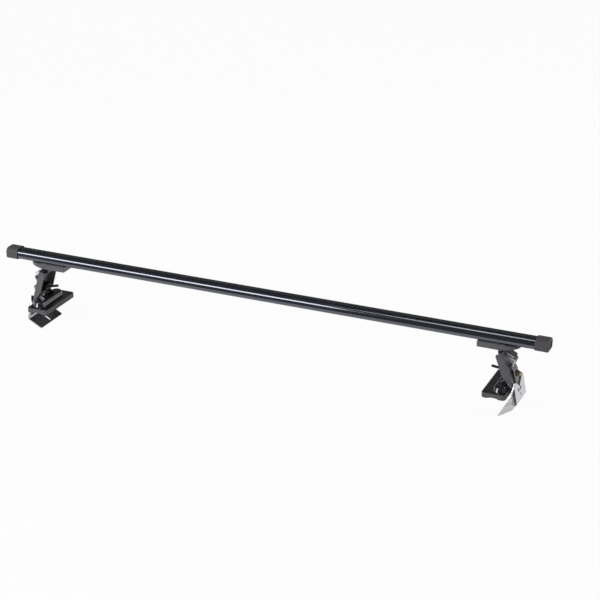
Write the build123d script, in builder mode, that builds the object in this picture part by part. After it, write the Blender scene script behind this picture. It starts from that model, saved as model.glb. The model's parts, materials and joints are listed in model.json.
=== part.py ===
"""Roof rack crossbar: a steel bar on two feet that clamp to a car's door frames.

Millimetres. +X runs along the bar and +Z is up.
The origin is the middle of the bar's section at half its length.
"""
import os
from math import cos, radians, sin, tan

from build123d import *

os.makedirs("parts", exist_ok=True)

# Bar: a rolled steel tube with a slot along its underside
bar_length = 1262.0
bar_width = 32.0
bar_height = 22.0
bar_top_corner = 8.5
bar_low_corner = 5.0
bar_wall = 1.6
bar_slot = 11.0

# End caps
cap_wall = 1.75
cap_end = 4.0
cap_reach = 25.0
cap_fit = 0.15
cap_edge = 1.6
cap_recess_width = 22.0
cap_recess_height = 12.0
cap_recess_depth = 2.0

# Saddle, its rubber liner and its clamp inside the bar
saddle_behind = 53.0
saddle_ahead = 10.0
saddle_nose_reach = 26.0
saddle_width = 35.0
saddle_bottom = -24.0
saddle_nose_height = 5.0
saddle_edge = 1.5
liner_thickness = 2.5
liner_pocket = 1.4
liner_rim = 2.0
liner_fit = 0.1
slide_gap = 0.1
clamp_margin = 12.0
clamp_width = 22.0
clamp_thickness = 4.0
screw_diameter = 6.0
screw_head = 11.0
screw_head_height = 3.5
screw_fit = 0.3
screw_inset = 12.0
screw_spacing = 22.0

# Hanger and the pin that the leg tilts on
pivot_inset = 93.0
pivot_z = -35.0
neck_width = 23.5
neck_inner = 8.0
neck_outer = 2.0
barrel_radius = 4.4
pin_diameter = 5.0
pin_fit = 0.1
press_gap = 0.03
side_gap = 0.4

# Leg: a pressed channel, with its lean from upright at rest
lean_left = 15.0
lean_right = 21.5
sheet = 2.5
leg_width = 58.0
leg_top = 7.0
leg_bottom = 70.0
leg_outer = 8.4
leg_inner = 7.6
leg_taper_start = 42.0
leg_toe = 6.0
leg_toe_corner = 1.5
leg_mouth_drop = 62.0
leg_mouth_gap = 1.5
leg_bend = 3.2
leg_corner = 5.0
awning_width = 23.5
awning_angle = 42.0
awning_reach = 25.0
awning_bend = 1.5
awning_corner = 4.0
awning_relief = 2.25

# Arm: the bent strap that hangs in the corner under the awning
arm_width = 23.5
arm_bead = 2.5
arm_bead_gap = 0.3
arm_angle = 38.0
arm_upper = 20.0
arm_waist_across = 12.0
arm_waist_drop = 32.0
arm_knee_drop = 40.0
arm_end_drop = 88.0
arm_bend = 3.0
arm_to_web = 0.8

# Hook plate
plate_tilt = 10.0
plate_thickness = 2.4
low_bend_drop = 109.0
hook_width = 92.0
panel_width = 68.0
panel_rise = 4.5
panel_run = 4.5
panel_foot = 3.0
panel_foot_run = 1.5
panel_wall = 1.5
ear_height = 50.0
ear_top_outer = 31.0
ear_top_inner = 24.0
ear_shoulder = 12.0
notch_height = 33.0
plate_hole = 5.0
plate_hole_height = 16.0
tongue_reach = 37.6
tongue_angle = 77.5
tongue_bend = 4.0
tongue_corner = 3.0
slit_width = 4.5
slit_length = 15.0
slit_edge = 5.0
rivet_diameter = 5.0
rivet_head = 8.0
rivet_head_height = 1.3
rivet_spacing = 13.0
rivet_height = 26.0

# Clamp bolt, its tapered washer and its nut block
bolt_diameter = 6.0
bolt_angle = 28.4
bolt_drop = 48.0
bolt_tail = 58.0
bolt_hole = 6.8
bolt_head = 10.0
bolt_head_height = 4.0
bolt_flange = 12.6
bolt_flange_height = 1.2
washer_diameter = 13.5
washer_lip = 1.2
nut_size = 11.0
nut_length = 16.0
nut_bore = 7.6
trunnion_diameter = 6.0
trunnion_fit = 0.15
bracket_ear = 2.0
bracket_base = 1.5
bracket_half_height = 6.0
bracket_gap = 0.6
web_slot_width = 8.0
web_slot_length = 16.0
web_slot_shift = 1.0

# Foot: a pressed hood on a rubber pad, tilting on a pin across the leg
pad_pin_across = 0.5
pad_pin_drop = 55.5
pad_length = 51.5
pad_width = 126.0
pad_centre = -20.0
pad_rim = -16.0
pad_height = 11.0
pad_corner = 8.0
pad_lip = 2.4
pad_pocket = 3.0
pad_arch = 2.6
pad_arch_width = 26.0
hood_fit = 0.3
hood_sheet = 2.6
hood_wall = 2.0
mound_length = 30.0
mound_width = 104.0
mound_shift = 7.2
mound_height = 10.0
mound_draft = 4.0
mound_edge = 3.5
lug_span = 44.0
lug_thickness = 4.0
lug_foot_inner = 7.0
lug_foot_outer = 4.5
hood_boss = 4.4
stud_diameter = 4.5
stud_height = 1.6
stud_inset = 6.0

feet = (("left", -1, lean_left), ("right", 1, lean_right))

# Places and levels that follow from the sizes above
pivot_x = bar_length / 2 - pivot_inset
saddle_inner = pivot_x - saddle_behind
saddle_straight = pivot_x + saddle_ahead
saddle_nose = saddle_straight + saddle_nose_reach
screw_places = (saddle_inner + screw_inset, saddle_inner + screw_inset + screw_spacing)
clamp_length = screw_spacing + 2 * clamp_margin
clamp_start = screw_places[0] - clamp_margin
bar_bottom = -bar_height / 2
liner_top = bar_bottom - slide_gap
saddle_top = liner_top - liner_thickness + liner_pocket
web_middle = leg_outer - sheet / 2

# The awning folds back from the top of the web, and the arm's bead lies in the corner between the two
awning_slope = radians(awning_angle)
fold_top = leg_top
awning_length = (awning_reach - web_middle) / sin(awning_slope)
awning_tip = (awning_reach, fold_top - awning_length * cos(awning_slope))
bead_room = arm_bead + arm_bead_gap
fulcrum_across = leg_outer + bead_room
fulcrum_below_awning = bead_room + sheet / 2 + (fulcrum_across - web_middle) * cos(awning_slope)
fulcrum_below_fold = fulcrum_below_awning / sin(awning_slope)
fulcrum = (fulcrum_across, fold_top - fulcrum_below_fold)

# The arm's lower run lies flat on the inside of the hook plate and leans in through the web's mouth
plate_slope = radians(plate_tilt)
arm_foot_across = leg_outer + arm_to_web + sheet / 2 / cos(plate_slope)


def arm_line(drop):
    """Middle of the arm's lower run at a drop below the pivot, in the leg's plane."""
    return (arm_foot_across + (leg_mouth_drop - drop) * tan(plate_slope), -drop)


arm_knee = (
    fulcrum[0] + arm_upper * sin(radians(arm_angle)),
    fulcrum[1] - arm_upper * cos(radians(arm_angle)),
)
arm_points = (
    fulcrum,
    arm_knee,
    (arm_waist_across, -arm_waist_drop),
    arm_line(arm_knee_drop),
    arm_line(arm_end_drop),
)
rim_offset = (sheet + plate_thickness) / 2 - panel_rise
low_bend = (arm_line(low_bend_drop)[0] + rim_offset / cos(plate_slope), -low_bend_drop)

tongue_slope = radians(tongue_angle)
tongue_tip = (low_bend[0] - tongue_reach * sin(tongue_slope), low_bend[1] - tongue_reach * cos(tongue_slope))

# The bolt crosses the arm's lower run, and the nut block sits where the bolt passes nearest the fulcrum
bolt_slope = radians(bolt_angle)
bolt_seat = arm_line(bolt_drop)
nut_along = (fulcrum[0] - bolt_seat[0]) * cos(bolt_slope) - (fulcrum[1] - bolt_seat[1]) * sin(bolt_slope)
nut_centre = (bolt_seat[0] + nut_along * cos(bolt_slope), bolt_seat[1] - nut_along * sin(bolt_slope))
washer_taper = bolt_slope - plate_slope
washer_start = sheet / 2 / cos(washer_taper)
washer_end = washer_start + washer_lip + washer_diameter / 2 * tan(washer_taper)
head_seat = washer_end + press_gap
web_slot_drop = bolt_drop - (bolt_seat[0] - web_middle) * tan(bolt_slope) + web_slot_shift


def side_plane(sign):
    """Upright plane along the bar: local x points outward and local y up."""
    return Plane(origin=(0, 0, 0), x_dir=(sign, 0, 0), z_dir=(0, -sign, 0))


def leg_plane(sign, lean):
    """Side plane at the leg's pivot, turned with the leg: x points out of the web and y up the leg."""
    angle = radians(lean)
    pivot = (sign * pivot_x, 0, pivot_z)
    return Plane(origin=pivot, x_dir=(sign * cos(angle), 0, sin(angle)), z_dir=(0, -sign, 0))


def front_plane(side, point, tilt, sign):
    """Plane facing out of the web at a point of the leg's plane: x runs along Y and y up the plate."""
    facing = side.x_dir * cos(tilt) - side.y_dir * sin(tilt)
    return Plane(origin=side.from_local_coords((*point, 0)), x_dir=(0, 1, 0), z_dir=facing * sign)


def level_plane(sign, across, height):
    """Level plane at a height, with its origin at a distance outward from the bar's middle."""
    return Plane(origin=(sign * across, 0, height), x_dir=(sign, 0, 0), z_dir=(0, 0, 1))


def bar_outline(margin):
    """Draw the bar's section in the current sketch, grown by a margin: its upper corners are wider."""
    Rectangle(bar_width + 2 * margin, bar_height + 2 * margin)
    fillet(vertices().group_by(Axis.Y)[-1], bar_top_corner + margin)
    fillet(vertices().group_by(Axis.Y)[0], bar_low_corner + margin)


# Bar
with BuildPart() as bar:
    with BuildSketch(Plane.YZ.offset(-bar_length / 2)):
        bar_outline(0)
        offset(amount=-bar_wall, mode=Mode.SUBTRACT)
        with Locations((0, bar_bottom)):
            Rectangle(bar_slot, 4 * bar_wall, mode=Mode.SUBTRACT)
    extrude(amount=bar_length)
bar.part.label = "bar"
export_step(bar.part, "parts/bar.step")

# End caps: moulded sleeves with a closed, recessed end
for name, sign, lean in feet:
    cap_start = bar_length / 2 - cap_reach
    cap_plane = Plane(origin=(sign * cap_start, 0, 0), x_dir=(0, sign, 0), z_dir=(sign, 0, 0))
    with BuildPart() as end_cap:
        with BuildSketch(cap_plane):
            bar_outline(cap_wall)
        extrude(amount=cap_reach + cap_end)
        chamfer(faces().sort_by(Axis((0, 0, 0), (sign, 0, 0)))[-1].edges(), cap_edge)
        with BuildSketch(cap_plane):
            bar_outline(cap_fit)
        extrude(amount=cap_reach, mode=Mode.SUBTRACT)
        with BuildSketch(cap_plane.offset(cap_reach + cap_end - cap_recess_depth)):
            RectangleRounded(cap_recess_width, cap_recess_height, cap_edge)
        extrude(amount=cap_recess_depth, mode=Mode.SUBTRACT)
    end_cap.part.label = f"end_cap_{name}"
    export_step(end_cap.part, f"parts/end_cap_{name}.step")

for name, sign, lean in feet:
    side = side_plane(sign)
    leg_side = leg_plane(sign, lean)
    leg_outward = Axis((0, 0, 0), (sign, 0, 0))

    # Saddle: boat-shaped block under the bar
    with BuildPart() as saddle:
        with BuildSketch(level_plane(sign, 0, saddle_bottom)):
            with BuildLine():
                Polyline(
                    (saddle_straight, -saddle_width / 2),
                    (saddle_inner, -saddle_width / 2),
                    (saddle_inner, saddle_width / 2),
                    (saddle_straight, saddle_width / 2),
                )
                EllipticalCenterArc(
                    (saddle_straight, 0), saddle_nose_reach, saddle_width / 2, start_angle=-90, arc_size=180
                )
            make_face()
        extrude(amount=saddle_top - saddle_bottom)
        with BuildSketch(side):
            Polygon(
                (saddle_straight - saddle_width / 4, saddle_bottom),
                (saddle_nose, saddle_top - saddle_nose_height),
                (saddle_nose, saddle_bottom),
                align=None,
            )
        extrude(amount=saddle_width, both=True, mode=Mode.SUBTRACT)
        chamfer(faces().sort_by(leg_outward)[0].edges().filter_by(Axis.Z), saddle_edge)
        with BuildSketch(level_plane(sign, 0, saddle_top - liner_pocket)):
            with Locations(((saddle_inner + saddle_straight) / 2, 0)):
                Rectangle(saddle_straight - saddle_inner - 2 * liner_rim, saddle_width - 2 * liner_rim)
        extrude(amount=liner_pocket, mode=Mode.SUBTRACT)
        with BuildSketch(level_plane(sign, 0, saddle_bottom)):
            with Locations(*[(place, 0) for place in screw_places]):
                Circle(screw_diameter / 2 + screw_fit)
        extrude(amount=saddle_top - saddle_bottom, mode=Mode.SUBTRACT)
    saddle.part.label = f"saddle_{name}"
    export_step(saddle.part, f"parts/saddle_{name}.step")

    # Rubber liner in the saddle's pocket
    with BuildPart() as saddle_liner:
        with BuildSketch(level_plane(sign, 0, saddle_top - liner_pocket)):
            with Locations(((saddle_inner + saddle_straight) / 2, 0)):
                Rectangle(
                    saddle_straight - saddle_inner - 2 * (liner_rim + liner_fit),
                    saddle_width - 2 * (liner_rim + liner_fit),
                )
            with Locations(*[(place, 0) for place in screw_places]):
                Circle(screw_diameter / 2 + screw_fit, mode=Mode.SUBTRACT)
        extrude(amount=liner_thickness)
    saddle_liner.part.label = f"saddle_liner_{name}"
    export_step(saddle_liner.part, f"parts/saddle_liner_{name}.step")

    # Clamp plate inside the bar, drawn down on the lips of the slot
    clamp_bottom = bar_bottom + bar_wall + slide_gap
    with BuildPart() as clamp_plate:
        with BuildSketch(level_plane(sign, 0, clamp_bottom)):
            with Locations((clamp_start + clamp_length / 2, 0)):
                RectangleRounded(clamp_length, clamp_width, bar_wall)
            with Locations(*[(place, 0) for place in screw_places]):
                Circle(screw_diameter / 2 + press_gap, mode=Mode.SUBTRACT)
        extrude(amount=clamp_thickness)
    clamp_plate.part.label = f"clamp_plate_{name}"
    export_step(clamp_plate.part, f"parts/clamp_plate_{name}.step")

    # Two screws from under the saddle into the clamp plate
    with BuildPart() as clamp_screws:
        with BuildSketch(level_plane(sign, 0, saddle_bottom)):
            with Locations(*[(place, 0) for place in screw_places]):
                Circle(screw_diameter / 2)
        extrude(amount=clamp_bottom + clamp_thickness - saddle_bottom)
        with BuildSketch(level_plane(sign, 0, saddle_bottom - screw_head_height)):
            with Locations(*[(place, 0) for place in screw_places]):
                RegularPolygon(screw_head / 2, 6)
        extrude(amount=screw_head_height)
    clamp_screws.part.label = f"clamp_screws_{name}"
    export_step(clamp_screws.part, f"parts/clamp_screws_{name}.step")

    # Hanger: a neck under the saddle that ends in a barrel for the leg's pin
    barrel_half = leg_width / 2 - sheet - side_gap
    with BuildPart() as hanger:
        with BuildSketch(side):
            with Locations((pivot_x + (neck_outer - neck_inner) / 2, (saddle_bottom + pivot_z) / 2)):
                Rectangle(neck_inner + neck_outer, saddle_bottom - pivot_z)
        extrude(amount=neck_width / 2, both=True)
        with BuildSketch(side):
            with Locations((pivot_x, pivot_z)):
                Circle(barrel_radius)
        extrude(amount=barrel_half, both=True)
        with BuildSketch(side):
            with Locations((pivot_x, pivot_z)):
                Circle(pin_diameter / 2 + pin_fit)
        extrude(amount=leg_width, both=True, mode=Mode.SUBTRACT)
    hanger.part.label = f"hanger_{name}"
    export_step(hanger.part, f"parts/hanger_{name}.step")

    # Leg: channel with tapered flanges, and the awning folded out of its web
    leg_section = Plane(origin=leg_side.origin, x_dir=leg_side.x_dir, z_dir=leg_side.y_dir)
    leg_section = leg_section.offset(-leg_bottom)
    leg_depth = leg_outer + leg_inner
    leg_front = front_plane(leg_side, (0, 0), 0, sign)
    with BuildPart() as leg:
        with BuildSketch(leg_section):
            with Locations(((leg_outer - leg_inner) / 2, 0)):
                Rectangle(leg_depth, leg_width)
            fillet(vertices().group_by(Axis.X)[-1], leg_bend)
            with Locations(((leg_outer - leg_inner) / 2 - sheet, 0)):
                Rectangle(leg_depth, leg_width - 2 * sheet, mode=Mode.SUBTRACT)
        extrude(amount=leg_bottom + leg_top)
        with BuildSketch(leg_side):
            Polygon(
                (-leg_inner, leg_top),
                (leg_outer, leg_top),
                (leg_outer, -leg_bottom),
                (leg_outer - leg_toe, -leg_bottom),
                (-leg_inner, -leg_taper_start),
                align=None,
            )
            fillet(vertices().sort_by_distance((-leg_inner, leg_top))[0], leg_corner)
            fillet(vertices().sort_by_distance((leg_outer - leg_toe, -leg_bottom))[0], leg_toe_corner)
        extrude(amount=leg_width, both=True, mode=Mode.INTERSECT)
        with BuildSketch(leg_front):
            with Locations((0, fold_top)):
                Rectangle(awning_width + 2 * awning_relief, 2 * fold_top)
            with Locations((0, -leg_bottom)):
                Rectangle(arm_width + 2 * leg_mouth_gap, 2 * (leg_bottom - leg_mouth_drop))
            with Locations((0, -web_slot_drop)):
                SlotOverall(web_slot_length, web_slot_width, rotation=90)
        extrude(amount=2 * leg_outer, both=True, mode=Mode.SUBTRACT)
        with BuildSketch(leg_side):
            Circle(pin_diameter / 2 + press_gap)
            with Locations((pad_pin_across, -pad_pin_drop)):
                Circle(pin_diameter / 2 + press_gap)
        extrude(amount=leg_width, both=True, mode=Mode.SUBTRACT)
        with BuildSketch(leg_side):
            with BuildLine():
                FilletPolyline((web_middle, -leg_top), (web_middle, fold_top), awning_tip, radius=awning_bend)
            trace(line_width=sheet)
        extrude(amount=awning_width / 2, both=True)
        awning_across = leg_side.x_dir * cos(awning_slope) + leg_side.y_dir * sin(awning_slope)
        awning_edges = edges().filter_by(Axis(leg_side.origin, awning_across))
        fillet(awning_edges.sort_by_distance(leg_side.from_local_coords((*awning_tip, 0)))[:2], awning_corner)
    leg.part.label = f"leg_{name}"
    export_step(leg.part, f"parts/leg_{name}.step")

    # Pins riveted into the leg's flanges
    for pin_name, place in (("leg_pin", (0, 0)), ("pad_pin", (pad_pin_across, -pad_pin_drop))):
        with BuildPart() as pin:
            with BuildSketch(leg_side):
                with Locations(place):
                    Circle(pin_diameter / 2)
            extrude(amount=leg_width / 2, both=True)
        pin.part.label = f"{pin_name}_{name}"
        export_step(pin.part, f"parts/{pin_name}_{name}.step")

    # Swivel bracket: two ears on the inside of the web that carry the nut block
    ear_inner = nut_length / 2 + bracket_gap
    ear_reach = nut_centre[0] - bracket_half_height
    web_inner = leg_outer - sheet
    with BuildPart() as swivel_bracket:
        with BuildSketch(leg_side):
            with BuildLine():
                Polyline(
                    (nut_centre[0], nut_centre[1] + bracket_half_height),
                    (web_inner, nut_centre[1] + bracket_half_height),
                    (web_inner, -web_slot_drop - web_slot_length / 2 - bracket_base),
                    (nut_centre[0], nut_centre[1] - bracket_half_height),
                )
                ThreePointArc(
                    (nut_centre[0], nut_centre[1] - bracket_half_height),
                    (ear_reach, nut_centre[1]),
                    (nut_centre[0], nut_centre[1] + bracket_half_height),
                )
            make_face()
        extrude(amount=ear_inner + bracket_ear, both=True)
        with BuildSketch(leg_side):
            with Locations((web_inner - bracket_base - leg_width / 2, nut_centre[1])):
                Rectangle(leg_width, leg_width)
        extrude(amount=ear_inner, both=True, mode=Mode.SUBTRACT)
        with BuildSketch(leg_side):
            with Locations(nut_centre):
                Circle(trunnion_diameter / 2 + trunnion_fit)
        extrude(amount=leg_width, both=True, mode=Mode.SUBTRACT)
        with BuildSketch(leg_front):
            with Locations((0, -web_slot_drop)):
                SlotOverall(web_slot_length, web_slot_width, rotation=90)
        extrude(amount=2 * leg_outer, both=True, mode=Mode.SUBTRACT)
    swivel_bracket.part.label = f"swivel_bracket_{name}"
    export_step(swivel_bracket.part, f"parts/swivel_bracket_{name}.step")

    # Planes of the bolt's axis, and of the hook plate at its low bend
    bolt_out = leg_side.x_dir * cos(bolt_slope) - leg_side.y_dir * sin(bolt_slope)
    bolt_plane = Plane(
        origin=leg_side.from_local_coords((*bolt_seat, 0)), x_dir=(0, 1, 0), z_dir=bolt_out
    )
    plate_front = front_plane(leg_side, low_bend, plate_slope, sign)
    plate_out = leg_side.x_dir * cos(plate_slope) - leg_side.y_dir * sin(plate_slope)
    rivet_points = [(y, rivet_height) for y in (-rivet_spacing / 2, rivet_spacing / 2)]
    rivet_inner = sign * (panel_rise - plate_thickness / 2 - sheet)
    rivet_outer = sign * (panel_rise + plate_thickness / 2)

    # Arm: strap with a rolled bead at its upper end and a hole for the bolt
    with BuildPart() as arm:
        with BuildSketch(leg_side):
            with BuildLine():
                FilletPolyline(*arm_points, radius=arm_bend)
            trace(line_width=sheet)
            with Locations(fulcrum):
                Circle(arm_bead)
        extrude(amount=arm_width / 2, both=True)
        with BuildSketch(bolt_plane):
            Circle(bolt_hole / 2)
        extrude(amount=bolt_diameter, both=True, mode=Mode.SUBTRACT)
        with BuildSketch(plate_front):
            with Locations(*rivet_points):
                Circle(rivet_diameter / 2 + press_gap)
        extrude(amount=leg_width / 2, both=True, mode=Mode.SUBTRACT)
    arm.part.label = f"arm_{name}"
    export_step(arm.part, f"parts/arm_{name}.step")

    # Hook plate: two ears round a notch, a raised panel with a rim each side, and the clamping tongue
    rim_plane = Plane(origin=plate_front.origin, x_dir=(0, sign, 0), z_dir=plate_out)
    rim_face = rim_plane.offset(plate_thickness / 2)
    rim_back = rim_plane.offset(-plate_thickness / 2)
    tongue_back = leg_side.x_dir * sin(tongue_slope) + leg_side.y_dir * cos(tongue_slope)
    tongue_plane = Plane(
        origin=leg_side.from_local_coords((*tongue_tip, 0)),
        x_dir=(0, 1, 0),
        z_dir=Vector(0, 1, 0).cross(tongue_back),
    )
    tongue_root = (
        low_bend[0] + ear_shoulder / 2 * sin(plate_slope),
        low_bend[1] + ear_shoulder / 2 * cos(plate_slope),
    )
    from_below = (Align.CENTER, Align.MIN)
    with BuildPart() as hook:
        with BuildSketch(rim_plane):
            Rectangle(hook_width, ear_height, align=from_below)
        extrude(amount=plate_thickness / 2, both=True)
        with BuildSketch(rim_face):
            with Locations((0, panel_foot)):
                Rectangle(panel_width + 2 * panel_run, ear_height, align=from_below)
        with BuildSketch(rim_face.offset(panel_rise)):
            with Locations((0, panel_foot + panel_foot_run)):
                Rectangle(panel_width, ear_height, align=from_below)
        loft()
        with BuildSketch(rim_back):
            with Locations((0, panel_foot + panel_wall)):
                Rectangle(panel_width + 2 * (panel_run - panel_wall), ear_height, align=from_below)
        with BuildSketch(rim_back.offset(panel_rise)):
            with Locations((0, panel_foot + panel_foot_run + panel_wall)):
                Rectangle(panel_width - 2 * panel_wall, ear_height, align=from_below)
        loft(mode=Mode.SUBTRACT)
        with BuildSketch(plate_front):
            with BuildLine():
                Polyline(
                    (-hook_width / 2, panel_foot),
                    (hook_width / 2, panel_foot),
                    (hook_width / 2, ear_shoulder),
                    (ear_top_outer, ear_height),
                    (ear_top_inner, ear_height),
                    (0, notch_height),
                    (-ear_top_inner, ear_height),
                    (-ear_top_outer, ear_height),
                    (-hook_width / 2, ear_shoulder),
                    close=True,
                )
            make_face()
            with Locations((0, plate_hole_height)):
                Circle(plate_hole / 2, mode=Mode.SUBTRACT)
            with Locations(*rivet_points):
                Circle(rivet_diameter / 2 + press_gap, mode=Mode.SUBTRACT)
        extrude(amount=leg_width / 2, both=True, mode=Mode.INTERSECT)
        with BuildSketch(leg_side):
            with BuildLine():
                FilletPolyline(tongue_root, low_bend, tongue_tip, radius=tongue_bend)
            trace(line_width=plate_thickness)
        extrude(amount=hook_width / 2, both=True)
        with BuildSketch(tongue_plane):
            with Locations((0, slit_edge + slit_length / 2)):
                SlotOverall(slit_length, slit_width, rotation=90)
        extrude(amount=plate_thickness, both=True, mode=Mode.SUBTRACT)
        tongue_edges = edges().filter_by(Axis(tongue_plane.origin, tongue_plane.z_dir))
        fillet(tongue_edges.sort_by(Axis(tongue_plane.origin, tongue_plane.y_dir))[:2], tongue_corner)
    hook.part.label = f"hook_{name}"
    export_step(hook.part, f"parts/hook_{name}.step")

    # Rivets that hold the arm to the hook plate
    with BuildPart() as hook_rivets:
        with BuildSketch(plate_front.offset(rivet_inner)):
            with Locations(*rivet_points):
                Circle(rivet_diameter / 2)
        extrude(amount=rivet_outer - rivet_inner)
        inner_head = rivet_inner - sign * rivet_head_height
        with BuildSketch(plate_front.offset(rivet_outer), plate_front.offset(inner_head)):
            with Locations(*rivet_points):
                Circle(rivet_head / 2)
        extrude(amount=sign * rivet_head_height)
    hook_rivets.part.label = f"hook_rivets_{name}"
    export_step(hook_rivets.part, f"parts/hook_rivets_{name}.step")

    # Tapered washer that squares the bolt's head to the sloping arm
    arm_face = Plane(origin=bolt_plane.origin + plate_out * (sheet / 2), x_dir=(0, 1, 0), z_dir=plate_out)
    with BuildPart() as clamp_washer:
        with BuildSketch(bolt_plane):
            Circle(washer_diameter / 2)
            Circle(bolt_hole / 2, mode=Mode.SUBTRACT)
        extrude(amount=washer_end)
        split(bisect_by=arm_face, keep=Keep.TOP)
    clamp_washer.part.label = f"clamp_washer_{name}"
    export_step(clamp_washer.part, f"parts/clamp_washer_{name}.step")

    # Clamp bolt with a flanged hexagon head
    with BuildPart() as clamp_bolt:
        with BuildSketch(bolt_plane.offset(head_seat - bolt_tail)):
            Circle(bolt_diameter / 2)
        extrude(amount=bolt_tail)
        chamfer(edges().sort_by(Axis(bolt_plane.origin, bolt_out))[0], bolt_diameter / 8)
        with BuildSketch(bolt_plane.offset(head_seat)):
            Circle(bolt_flange / 2)
        extrude(amount=bolt_flange_height)
        with BuildSketch(bolt_plane.offset(head_seat + bolt_flange_height)):
            RegularPolygon(bolt_head / 2, 6, major_radius=False)
        extrude(amount=bolt_head_height)
    clamp_bolt.part.label = f"clamp_bolt_{name}"
    export_step(clamp_bolt.part, f"parts/clamp_bolt_{name}.step")

    # Nut block: square block on two trunnions, bored across for the bolt
    nut_plane = Plane(
        origin=leg_side.from_local_coords((*nut_centre, 0)), x_dir=bolt_out, z_dir=leg_side.z_dir
    )
    with BuildPart() as nut_block:
        with BuildSketch(nut_plane):
            RectangleRounded(nut_size, nut_size, nut_size / 8)
        extrude(amount=nut_length / 2, both=True)
        with BuildSketch(nut_plane):
            Circle(trunnion_diameter / 2)
        extrude(amount=ear_inner + bracket_ear, both=True)
        with BuildSketch(bolt_plane):
            Circle(nut_bore / 2)
        extrude(amount=bolt_tail, both=True, mode=Mode.SUBTRACT)
    nut_block.part.label = f"nut_block_{name}"
    export_step(nut_block.part, f"parts/nut_block_{name}.step")

    # Planes of the pad, level at rest, from the pad's pin
    pad_pin_point = leg_side.from_local_coords((pad_pin_across, -pad_pin_drop, 0))
    pad_side = Plane(origin=pad_pin_point, x_dir=(sign, 0, 0), z_dir=leg_side.z_dir)
    pad_x = sign * pad_pin_point.X + pad_centre
    pocket_floor = pad_pin_point.Z + pad_rim - pad_pocket
    hood_length = pad_length - 2 * (pad_lip + hood_fit)
    hood_width = pad_width - 2 * (pad_lip + hood_fit)
    hood_corner = pad_corner - pad_lip - hood_fit
    plate_top = pocket_floor + hood_sheet
    mound_top = plate_top + mound_height
    mound_x = pad_x + mound_shift
    mound_across = pad_centre + mound_shift

    # Hood: pressed plate with a hollow domed mound, and two lugs that reach up into the leg
    with BuildPart() as hood:
        with BuildSketch(level_plane(sign, pad_x, pocket_floor)):
            RectangleRounded(hood_length, hood_width, hood_corner)
        extrude(amount=hood_sheet)
        with BuildSketch(level_plane(sign, mound_x, plate_top)):
            SlotOverall(mound_width, mound_length, rotation=90)
        with BuildSketch(level_plane(sign, mound_x, mound_top)):
            SlotOverall(mound_width - 2 * mound_draft, mound_length - 2 * mound_draft, rotation=90)
        loft()
        fillet(faces().sort_by(Axis.Z)[-1].edges(), mound_edge)
        hollow_width = mound_width - 2 * hood_wall
        hollow_length = mound_length - 2 * hood_wall
        with BuildSketch(level_plane(sign, mound_x, pocket_floor)):
            SlotOverall(hollow_width, hollow_length, rotation=90)
        with BuildSketch(level_plane(sign, mound_x, mound_top - hood_wall)):
            SlotOverall(hollow_width - 2 * mound_draft, hollow_length - 2 * mound_draft, rotation=90)
        loft(mode=Mode.SUBTRACT)
        lug_planes = [pad_side.offset(-lug_span / 2), pad_side.offset(lug_span / 2 - lug_thickness)]
        with BuildSketch(*lug_planes):
            with BuildLine():
                lug_base = mound_top - hood_wall / 2 - pad_pin_point.Z
                lug_inner = (mound_across - lug_foot_inner, lug_base)
                Polyline(lug_inner, (-hood_boss, hood_boss), (0, hood_boss))
                ThreePointArc((0, hood_boss), (hood_boss, 0), (0, -hood_boss))
                Polyline((0, -hood_boss), (-lug_foot_outer, lug_base), lug_inner)
            make_face()
        extrude(amount=lug_thickness)
        with BuildSketch(pad_side):
            Circle(pin_diameter / 2 + pin_fit)
        extrude(amount=leg_width, both=True, mode=Mode.SUBTRACT)
    hood.part.label = f"hood_{name}"
    export_step(hood.part, f"parts/hood_{name}.step")

    # Rubber pad with a raised lip and an arched underside
    pad_bottom = pad_pin_point.Z + pad_rim - pad_height
    with BuildPart() as pad:
        with BuildSketch(level_plane(sign, pad_x, pad_bottom)):
            RectangleRounded(pad_length, pad_width, pad_corner)
        extrude(amount=pad_height)
        with BuildSketch(level_plane(sign, pad_x, pocket_floor)):
            RectangleRounded(pad_length - 2 * pad_lip, pad_width - 2 * pad_lip, pad_corner - pad_lip)
        extrude(amount=pad_pocket, mode=Mode.SUBTRACT)
        with BuildSketch(side):
            with BuildLine():
                arch_ends = [(pad_x + x, pad_bottom) for x in (-pad_arch_width / 2, pad_arch_width / 2)]
                ThreePointArc(arch_ends[0], (pad_x, pad_bottom + pad_arch), arch_ends[1])
                Line(arch_ends[1], arch_ends[0])
            make_face()
        extrude(amount=pad_width, both=True, mode=Mode.SUBTRACT)
    pad.part.label = f"pad_{name}"
    export_step(pad.part, f"parts/pad_{name}.step")

    # Studs that fix the pad at the hood's corners
    stud_points = [
        (x, y)
        for x in (-hood_length / 2 + stud_inset, hood_length / 2 - stud_inset)
        for y in (-hood_width / 2 + stud_inset, hood_width / 2 - stud_inset)
    ]
    with BuildPart() as pad_studs:
        with BuildSketch(level_plane(sign, pad_x, plate_top)):
            with Locations(*stud_points):
                Circle(stud_diameter / 2)
        extrude(amount=stud_height)
    pad_studs.part.label = f"pad_studs_{name}"
    export_step(pad_studs.part, f"parts/pad_studs_{name}.step")
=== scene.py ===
"""Finishes, threads and studio for a roof rack crossbar on two clamping feet."""
import json
from math import cos, pi, radians, sin

import bmesh
import bpy
from mathutils import Matrix, Vector


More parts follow.
